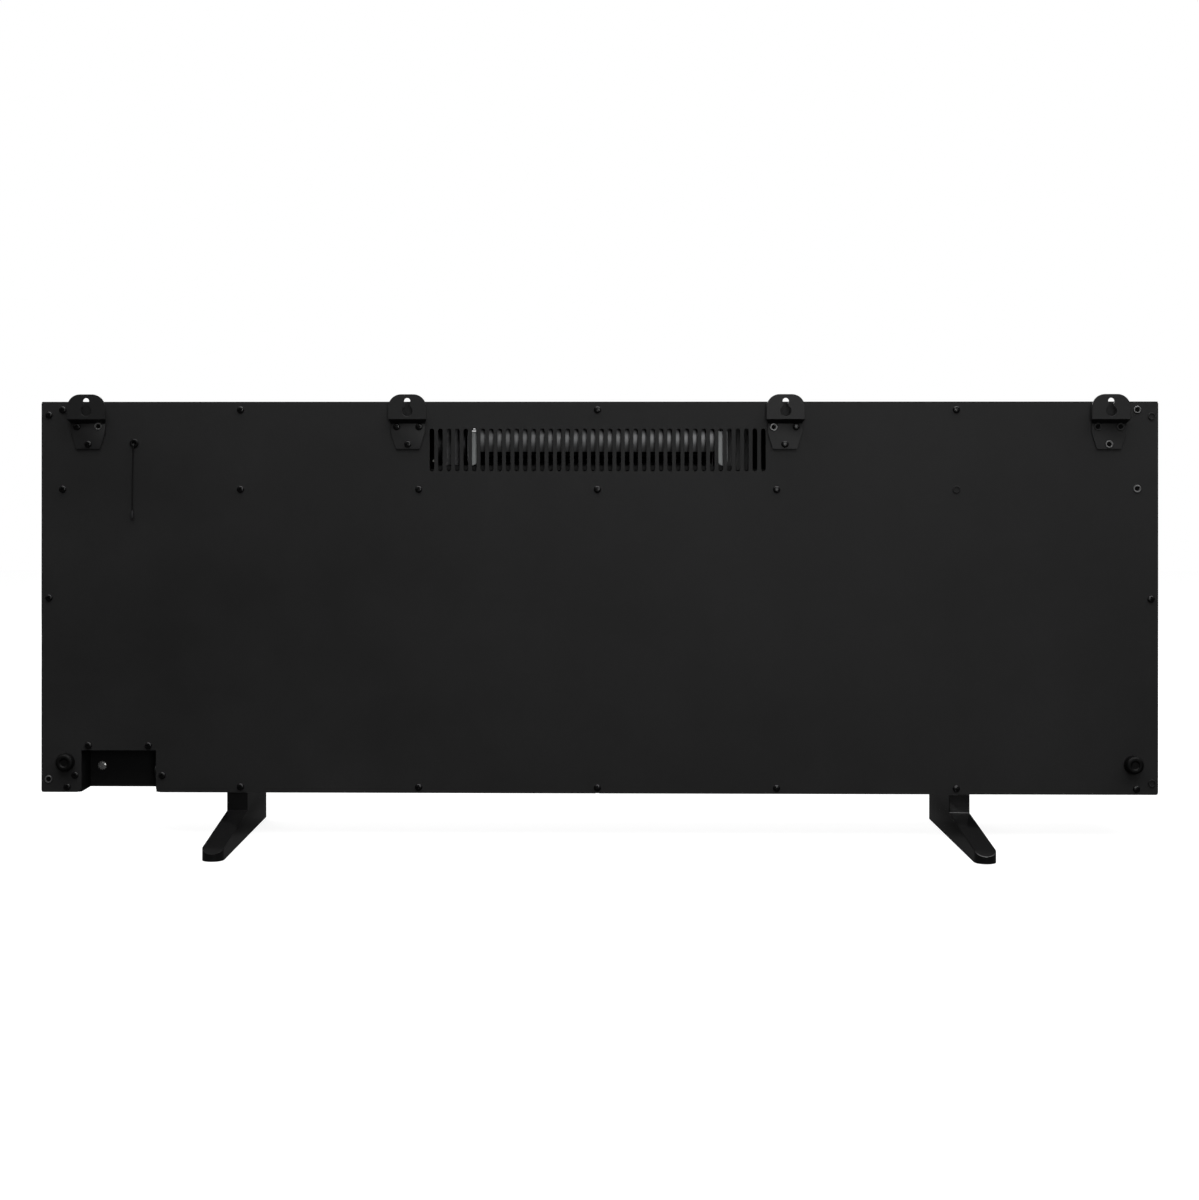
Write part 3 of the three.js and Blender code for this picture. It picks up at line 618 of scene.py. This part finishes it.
black_zinc = coated("screw black", (0.001, 0.001, 0.0011), (0.012, 0.012, 0.012), 0.08, 0.0005,
                    (0.22, 0.3), 0.42, 0.00001)
# The mandrel stubs are real parts, but their near-black colour is painted shade of the hollow in each
# rivet's middle.
mandrel_black_painted_shade = coated("mandrel black painted shade", (0.0006, 0.0006, 0.0006), (0.01, 0.01, 0.01), 0.1, 0.0005,
                       (0.5, 0.7), 0.1, 0.00001)
rivet_bright = plated("rivet aluminium", (0.36, 0.36, 0.36), (0.22, 0.22, 0.22), 0.002, (0.35, 0.5))
rivet_painted = coated("rivet worn paint", (0.02, 0.02, 0.02), (0.09, 0.09, 0.09), 0.3, 0.0006,
                       (0.4, 0.55), 0.4, 0.00002)


def on_panel(across, below_top):
    """A place on the rear of the panel, from its middle and its top edge."""
    return Vector((across, back_y, panel_top - below_top))


column, top_row, upper_row, bottom_row = 0.2, 0.009, 0.098, 0.4315
panel_places = [on_panel(x * column, top_row) for x in (3, 2, 0, -2)]
panel_places += [on_panel(x * column, upper_row) for x in (3, 2, 1, 0, -1)]
panel_places += [on_panel(x * column, bottom_row) for x in (2, 1, 0, -1, -2, -3)]
panel_places += [on_panel(0.595, 0.432), on_panel(0.6155, 0.0148), on_panel(0.6155, 0.220),
                 on_panel(-0.6160, 0.220)]
coated_places = [on_panel(-2 * column, upper_row), on_panel(-0.6165, 0.0165),
                 on_panel(-0.617, 0.425)]
recess_places = [on_panel(0.586, 0.419), on_panel(0.488, 0.419), on_panel(0.5712, 0.3857),
                 on_panel(0.5036, 0.3857)]
fasten("panel_screws", panel_places, screw_head, black_zinc, 3)
fasten("recess_screws", recess_places, screw_head, black_zinc, 8)

tab_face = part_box("hanger_1")[0].y + 0.002
strap_centres = [(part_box(f"hanger_{n}")[0].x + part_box(f"hanger_{n}")[1].x) / 2 for n in range(1, 5)]


def on_tab(hanger, across, below_top):
    """A place on the tab of a hanger, counted from the left as seen from the glass side."""
    return Vector((strap_centres[hanger - 1] + across, tab_face, panel_top - below_top))


tab_screws = [on_tab(4, 0.0125, 0.028), on_tab(4, 0, 0.0475), on_tab(3, 0.0125, 0.028),
              on_tab(3, -0.0125, 0.028), on_tab(3, 0, 0.0475), on_tab(2, -0.0125, 0.028),
              on_tab(2, 0, 0.0475)]
fasten("hanger_screws", tab_screws, screw_head, black_zinc, 21)
bare_rivets = [on_panel(-0.6007, top_row), on_panel(-0.6006, 0.097), on_panel(0.6159, 0.4235),
               on_tab(2, 0.0125, 0.0285), on_tab(1, 0, 0.0475)]
# The rivet under the plate of hanger 4 takes the brighter zinc as painted light, so it shows bright
# though it sits in the plate's shade.
new_rivets = [on_tab(4, -0.0115, 0.0275)]
painted_rivets = [on_tab(1, 0.0125, 0.028), on_tab(1, -0.0125, 0.028)]
fasten("bare_rivets", bare_rivets, rivet_rim, rivet_bright, 5, spread=0.02)
fasten("new_rivets", new_rivets, rivet_rim, bright_zinc, 4, spread=0.02)
fasten("painted_rivets", painted_rivets, rivet_rim, rivet_painted, 6, spread=0.02)
fasten("coated_rivets", coated_places, rivet_rim, panel_coat, 9, spread=0.02)
fasten("rivet_mandrels", bare_rivets + new_rivets + painted_rivets, rivet_core, mandrel_black_painted_shade,
       7, spread=0.02)
for pattern in (screw_head, rivet_rim, rivet_core):
    bpy.data.objects.remove(pattern)

# ---------------------------------------------------------------------------
# Wall bumpers: moulded rubber buttons pushed into the panel low at each side,
# which keep the bottom of the case as far from the wall as the hangers do.
rubber = coated("bumper rubber", (0.0007, 0.0007, 0.0007), (0.015, 0.015, 0.015), 0.08, 0.0006,
                (0.4, 0.55), 0.16, 0.00002)
for node in ("bumper_left", "bumper_right"):
    bumper = eased_copy(node, f"{node}_rubber", 0.0006, 3, 25)
    bumper.data.materials.append(rubber)
    settle(bumper, node)

# ---------------------------------------------------------------------------
# Feet: one black moulding each, swept back and down from under the casing,
# with a satin sheen, held by two screws driven up from below.
foot_plastic = coated("foot moulding", (0.003, 0.003, 0.0031), (0.03, 0.03, 0.03), 0.1, 0.0009,
                      (0.15, 0.22), 0.4, 0.00002)
foot_shader = foot_plastic.node_tree.nodes["Principled BSDF"]
foot_shader.inputs["Coat Weight"].default_value = 0.18
foot_shader.inputs["Coat Roughness"].default_value = 0.1
for node in ("foot_left", "foot_right"):
    foot = eased_copy(node, f"{node}_moulding", 0.0016, 4, 30)
    foot.data.materials.append(foot_plastic)
    settle(foot, node)
    for number in (1, 2):
        screw = eased_copy(f"{node}_screw_{number}", f"{node}_bolt_{number}", 0.0003)
        screw.data.materials.append(black_zinc)
        settle(screw, f"{node}_screw_{number}")

# ---------------------------------------------------------------------------
# Thermostat bead and grommet: a drop of cast resin over the sensor at the end
# of the lead, and the moulded ring that lines the hole it comes out of.
grommet_nylon = coated("grommet nylon", (0.0006, 0.0006, 0.0007), (0.015, 0.015, 0.015), 0.08,
                       0.0005, (0.3, 0.45), 0.2, 0.00002)
grommet = eased_copy("sensor_grommet", "lead_grommet", 0.0003)
grommet.data.materials.append(grommet_nylon)
settle(grommet, "sensor_grommet")
bead_resin = coated("bead resin", (0.012, 0.012, 0.013), (0.05, 0.05, 0.05), 0.1, 0.0006,
                    (0.2, 0.35), 0.5, 0.00002)
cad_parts["sensor_bead"].material_slots[0].material = bead_resin

# ---------------------------------------------------------------------------
# Blower: a crossflow fan in a rolled galvanised scroll between two brackets,
# on a shelf across the casing; its motor stands outside the right-hand one.
galvanised = plated("galvanised sheet", (0.25, 0.25, 0.253), (0.21, 0.213, 0.216), 0.008,
                    (0.42, 0.48))
bracket_zinc = plated("bracket zinc", (0.34, 0.35, 0.35), (0.24, 0.25, 0.25), 0.004, (0.5, 0.58))
# The blower shelf takes the blacker coat, whose darkness is painted shade inside the casing.
for node, name, finish in (
        ("blower_scroll", "blower_scroll_sheet", galvanised),
        ("blower_tongue", "blower_tongue_sheet", galvanised),
        ("blower_shelf", "blower_shelf_sheet", black_coat_painted_shade),
        ("blower_bracket_left", "blower_end_left", bracket_zinc),
        ("blower_bracket_right", "blower_end_right", bracket_zinc)):
    sheet = eased_copy(node, name, 0.0002, 1)
    sheet.data.materials.append(finish)
    settle(sheet, node)
# The fan wheel's near-black colour is painted shade of the dark inside of the fan.
blade_metal_painted_shade = plated("fan blade metal painted shade dark", (0.03, 0.03, 0.031), (0.015, 0.015, 0.016), 0.004,
                     (0.5, 0.65))
impeller = eased_copy("blower_impeller", "blower_fan_wheel", 0)
impeller.data.materials.append(blade_metal_painted_shade)
settle(impeller, "blower_impeller", "blower_fan")
bearing = eased_copy("blower_bearing", "blower_fan_bearing", 0.0003)
bearing.data.materials.append(rubber)
settle(bearing, "blower_bearing")
motor_steel = plated("motor lamination steel", (0.11, 0.11, 0.112), (0.03, 0.03, 0.031), 0.003,
                     (0.4, 0.55))
motor = eased_copy("blower_motor", "blower_fan_motor", 0.0004)
motor.data.materials.append(motor_steel)
settle(motor, "blower_motor")

# ---------------------------------------------------------------------------
# Motor terminals: a white nylon tongue moulded on the end cap of the motor,
# with two plated blades pushed through it for the supply sockets.
motor_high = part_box("blower_motor")[1]
terminal_mesh = bpy.data.meshes.new("motor_terminals")
terminal_work = bmesh.new()


def cut_block(work, low, high, finish):
    """A closed rectangular block in the mesh, with its finish's number."""
    made = bmesh.ops.create_cube(work, size=1)["verts"]
    middle, spread = (Vector(low) + Vector(high)) / 2, Vector(high) - Vector(low)
    for vert in made:
        vert.co = Vector([m + s * c for m, s, c in zip(middle, spread, vert.co)])
    for face in {face for vert in made for face in vert.link_faces}:
        face.material_index = finish


tongue_low = Vector((motor_high.x, motor_high.y - 0.024, motor_high.z - 0.0440))
tongue_high = Vector((motor_high.x + 0.0036, motor_high.y + 0.0050, motor_high.z - 0.0416))
cut_block(terminal_work, tongue_low, tongue_high, 0)
for step in (0.0060, 0.0140):
    cut_block(terminal_work,
              (tongue_low.x + 0.0012, tongue_high.y - step - 0.0048, tongue_high.z - 0.0002),
              (tongue_low.x + 0.0020, tongue_high.y - step, tongue_high.z + 0.0070), 1)
terminal_work.to_mesh(terminal_mesh)
terminal_work.free()
terminals = bpy.data.objects.new("motor_terminals", terminal_mesh)
bpy.context.scene.collection.objects.link(terminals)
terminals.data.materials.append(coated(
    "terminal nylon", (0.34, 0.34, 0.32), (0.26, 0.26, 0.25), 0.2, 0.0008, (0.35, 0.5), 0.4,
    0.00002))
terminals.data.materials.append(bright_zinc)
terminal_easing = terminals.modifiers.new("eased edges", "BEVEL")
terminal_easing.width = 0.0002
terminal_easing.segments = 2
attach(terminals, "housing")

# ---------------------------------------------------------------------------
# Heater: a ceramic strip with pressed aluminium fins across the duct mouth,
# and a plated disc cut-out on the bracket that opens if the air stops.
fin_metal = plated("heater fins", (0.7, 0.7, 0.68), (0.5, 0.5, 0.48), 0.002, (0.3, 0.45))
heater = eased_copy("heater_element", "heater_fin_strip", 0.0002, 1)
heater.data.materials.append(fin_metal)
settle(heater, "heater_element")
cutout = eased_copy("thermal_cutout", "thermal_cutout_disc", 0.0004)
cutout.data.materials.append(bright_zinc)
settle(cutout, "thermal_cutout")

# ---------------------------------------------------------------------------
# Warm-air grille: steel louvres and stays spot-welded in a rim, enamelled
# black, set behind the long cut-out near the top of the glass.
enamel = coated("black enamel", (0.004, 0.004, 0.0042), (0.03, 0.03, 0.03), 0.1, 0.001,
                (0.32, 0.48), 0.45, 0.00003)
grille = eased_copy("outlet_grille", "warm_air_grille", 0.0002, 1)
grille.data.materials.append(enamel)
settle(grille, "outlet_grille")

# ---------------------------------------------------------------------------
# Front: one sheet of dark toughened glass with ground edges, bonded over a
# folded black bezel with a long window in its middle.
bezel = eased_copy("bezel_frame", "window_bezel", 0.0002, 1)
bezel.data.materials.append(enamel)
settle(bezel, "bezel_frame")
glass = eased_copy("glass_front", "glass_sheet", 0.0008, 3)
dark_glass = bpy.data.materials.new("dark glass")
dark_glass.use_nodes = True
nodes, links = dark_glass.node_tree.nodes, dark_glass.node_tree.links
shader = nodes["Principled BSDF"]
shader.inputs["Base Color"].default_value = (0.56, 0.565, 0.57, 1)
shader.inputs["Transmission Weight"].default_value = 1.0
shader.inputs["IOR"].default_value = 1.5
place = nodes.new("ShaderNodeTexCoord")
film = nodes.new("ShaderNodeTexNoise")
film.inputs["Scale"].default_value = 9
film.inputs["Detail"].default_value = 4
film_range = nodes.new("ShaderNodeMapRange")
film_range.inputs["To Min"].default_value = 0.01
film_range.inputs["To Max"].default_value = 0.06
links.new(place.outputs["Object"], film.inputs["Vector"])
links.new(film.outputs["Fac"], film_range.inputs["Value"])
links.new(film_range.outputs["Result"], shader.inputs["Roughness"])
glass.data.materials.append(dark_glass)
settle(glass, "glass_front")

# ---------------------------------------------------------------------------
# Fire chamber: a frosted acrylic screen behind a folded steel tray, with a bed
# of cast resin embers in it and three moulded logs laid on the embers.
frosted = coated("frosted screen", (0.16, 0.16, 0.165), (0.3, 0.3, 0.3), 0.1, 0.002, (0.5, 0.62),
                 0.4, 0.00003)
screen = eased_copy("flame_screen", "flame_screen_sheet", 0.0004)
screen.data.materials.append(frosted)
settle(screen, "flame_screen")
tray = eased_copy("fuel_tray", "fuel_tray_fold", 0.0002, 1)
tray.data.materials.append(enamel)
settle(tray, "fuel_tray")

fuel_texture = bpy.data.node_groups.new("charred fuel", "ShaderNodeTree")
for title, kind, start in (
        ("Dark", "NodeSocketColor", (0.02, 0.01, 0.006, 1)),
        ("Ridge", "NodeSocketColor", (0.13, 0.07, 0.035, 1)),
        ("Ash", "NodeSocketColor", (0.34, 0.3, 0.25, 1)),
        ("Lump Size", "NodeSocketFloat", 0.01),
        ("Groove", "NodeSocketVector", (1, 1, 1))):
    fuel_texture.interface.new_socket(title, in_out="INPUT", socket_type=kind).default_value = start
for title, kind in (("Color", "NodeSocketColor"), ("Roughness", "NodeSocketFloat"),
                    ("Height", "NodeSocketFloat")):
    fuel_texture.interface.new_socket(title, in_out="OUTPUT", socket_type=kind)
nodes, links = fuel_texture.nodes, fuel_texture.links
given, result = nodes.new("NodeGroupInput"), nodes.new("NodeGroupOutput")
place = nodes.new("ShaderNodeTexCoord")
stretch = nodes.new("ShaderNodeVectorMath")
stretch.operation = "MULTIPLY"
links.new(place.outputs["Object"], stretch.inputs[0])
links.new(given.outputs["Groove"], stretch.inputs[1])
pitch = nodes.new("ShaderNodeMath")
pitch.operation = "DIVIDE"
pitch.inputs[0].default_value = 1.0
links.new(given.outputs["Lump Size"], pitch.inputs[1])
ridges = nodes.new("ShaderNodeTexNoise")
ridges.inputs["Detail"].default_value = 6.0
links.new(stretch.outputs["Vector"], ridges.inputs["Vector"])
links.new(pitch.outputs["Value"], ridges.inputs["Scale"])
layered = given.outputs["Dark"]
for title, low, high in (("Ridge", 0.38, 0.55), ("Ash", 0.55, 0.72)):
    band = nodes.new("ShaderNodeMapRange")
    band.inputs["From Min"].default_value = low
    band.inputs["From Max"].default_value = high
    layer = nodes.new("ShaderNodeMix")
    layer.data_type = "RGBA"
    links.new(ridges.outputs["Fac"], band.inputs["Value"])
    links.new(band.outputs["Result"], layer.inputs["Factor"])
    links.new(layered, layer.inputs["A"])
    links.new(given.outputs[title], layer.inputs["B"])
    layered = layer.outputs["Result"]
links.new(layered, result.inputs["Color"])
rough = nodes.new("ShaderNodeMapRange")
rough.inputs["To Min"].default_value = 0.7
rough.inputs["To Max"].default_value = 0.95
links.new(ridges.outputs["Fac"], rough.inputs["Value"])
links.new(rough.outputs["Result"], result.inputs["Roughness"])
links.new(ridges.outputs["Fac"], result.inputs["Height"])


def charred(name, dark, ridge, ash, lump, groove):
    """Moulded fuel: dark body, lighter ridges and a grey ash bloom on top."""
    finish = bpy.data.materials.new(name)
    finish.use_nodes = True
    tree = finish.node_tree
    shader = tree.nodes["Principled BSDF"]
    shader.inputs["Specular IOR Level"].default_value = 0.25
    crust = tree.nodes.new("ShaderNodeGroup")
    crust.node_tree = fuel_texture
    crust.inputs["Dark"].default_value = (*dark, 1)
    crust.inputs["Ridge"].default_value = (*ridge, 1)
    crust.inputs["Ash"].default_value = (*ash, 1)
    crust.inputs["Lump Size"].default_value = lump
    crust.inputs["Groove"].default_value = groove
    relief = tree.nodes.new("ShaderNodeBump")
    relief.inputs["Distance"].default_value = 0.0015
    relief.inputs["Strength"].default_value = 0.8
    tree.links.new(crust.outputs["Color"], shader.inputs["Base Color"])
    tree.links.new(crust.outputs["Roughness"], shader.inputs["Roughness"])
    tree.links.new(crust.outputs["Height"], relief.inputs["Height"])
    tree.links.new(relief.outputs["Normal"], shader.inputs["Normal"])
    return finish


ember = charred("ember bed", (0.012, 0.008, 0.006), (0.22, 0.05, 0.012), (0.3, 0.27, 0.24), 0.012,
                (1, 1, 1))
bark = charred("log bark", (0.02, 0.011, 0.006), (0.13, 0.07, 0.035), (0.34, 0.3, 0.25), 0.008,
               (0.18, 1, 1))
bed = eased_copy("ember_bed", "ember_bed_moulding", 0)
bed.data.materials.append(ember)
settle(bed, "ember_bed")
for node in ("log_left", "log_middle", "log_right"):
    log = eased_copy(node, f"{node}_moulding", 0, angle=70)
    log.data.materials.append(bark)
    settle(log, node)

# ---------------------------------------------------------------------------
# Flame effect: a spindle of mirror paddles turned by a small geared motor,
# lit by two strips of lamps.
mirror = plated("paddle mirror", (0.93, 0.93, 0.94), (0.88, 0.88, 0.9), 0.01, (0.05, 0.1))
spindle = eased_copy("flame_rotor", "flame_spindle_paddles", 0)
spindle.data.materials.append(mirror)
settle(spindle, "flame_rotor", "flame_spindle")
spindle_motor = eased_copy("rotor_motor", "flame_spindle_motor", 0.0004)
spindle_motor.data.materials.append(galvanised)
settle(spindle_motor, "rotor_motor")
spindle_bearing = eased_copy("rotor_bearing", "flame_spindle_bearing", 0.0003)
spindle_bearing.data.materials.append(nylon)
settle(spindle_bearing, "rotor_bearing")
board_white = coated("white board", (0.62, 0.62, 0.6), (0.5, 0.5, 0.48), 0.2, 0.003, (0.35, 0.5),
                     0.5, 0.00002)
for node in ("led_strip_flame", "led_strip_ember"):
    strip = eased_copy(node, f"{node}_board", 0.0001, 1)
    strip.data.materials.append(board_white)
    settle(strip, node)

# ---------------------------------------------------------------------------
# Electronics: a control board on posts above the shelf and a switch board
# behind the buttons, both green glass-fibre laminate with their parts on.
board_green = coated("green board", (0.006, 0.05, 0.022), (0.02, 0.09, 0.05), 0.4, 0.004,
                     (0.25, 0.4), 0.5, 0.00003)
for node in ("control_board", "switch_board"):
    board = eased_copy(node, f"{node}_assembly", 0.0002, 1)
    board.data.materials.append(board_green)
    settle(board, node)

# ---------------------------------------------------------------------------
# Controls: a moulded bezel on the right-hand side, four push buttons and one
# rocker switch for the mains.
key_grey = coated("button plastic", (0.016, 0.016, 0.017), (0.05, 0.05, 0.05), 0.1, 0.0006,
                  (0.35, 0.5), 0.45, 0.00003)
gloss_black = coated("rocker plastic", (0.004, 0.004, 0.004), (0.02, 0.02, 0.02), 0.08, 0.0008,
                     (0.12, 0.22), 0.5, 0.00001)
control_bezel = eased_copy("control_bezel", "control_panel_bezel", 0.0005)
control_bezel.data.materials.append(nylon)
settle(control_bezel, "control_bezel")
for number in range(1, 5):
    key = eased_copy(f"button_{number}", f"push_button_{number}", 0.0006, 3)
    key.data.materials.append(key_grey)
    settle(key, f"button_{number}", f"key_{number}")
rocker = eased_copy("power_rocker", "mains_rocker", 0.0005, 3)
rocker.data.materials.append(gloss_black)
settle(rocker, "power_rocker", "rocker")
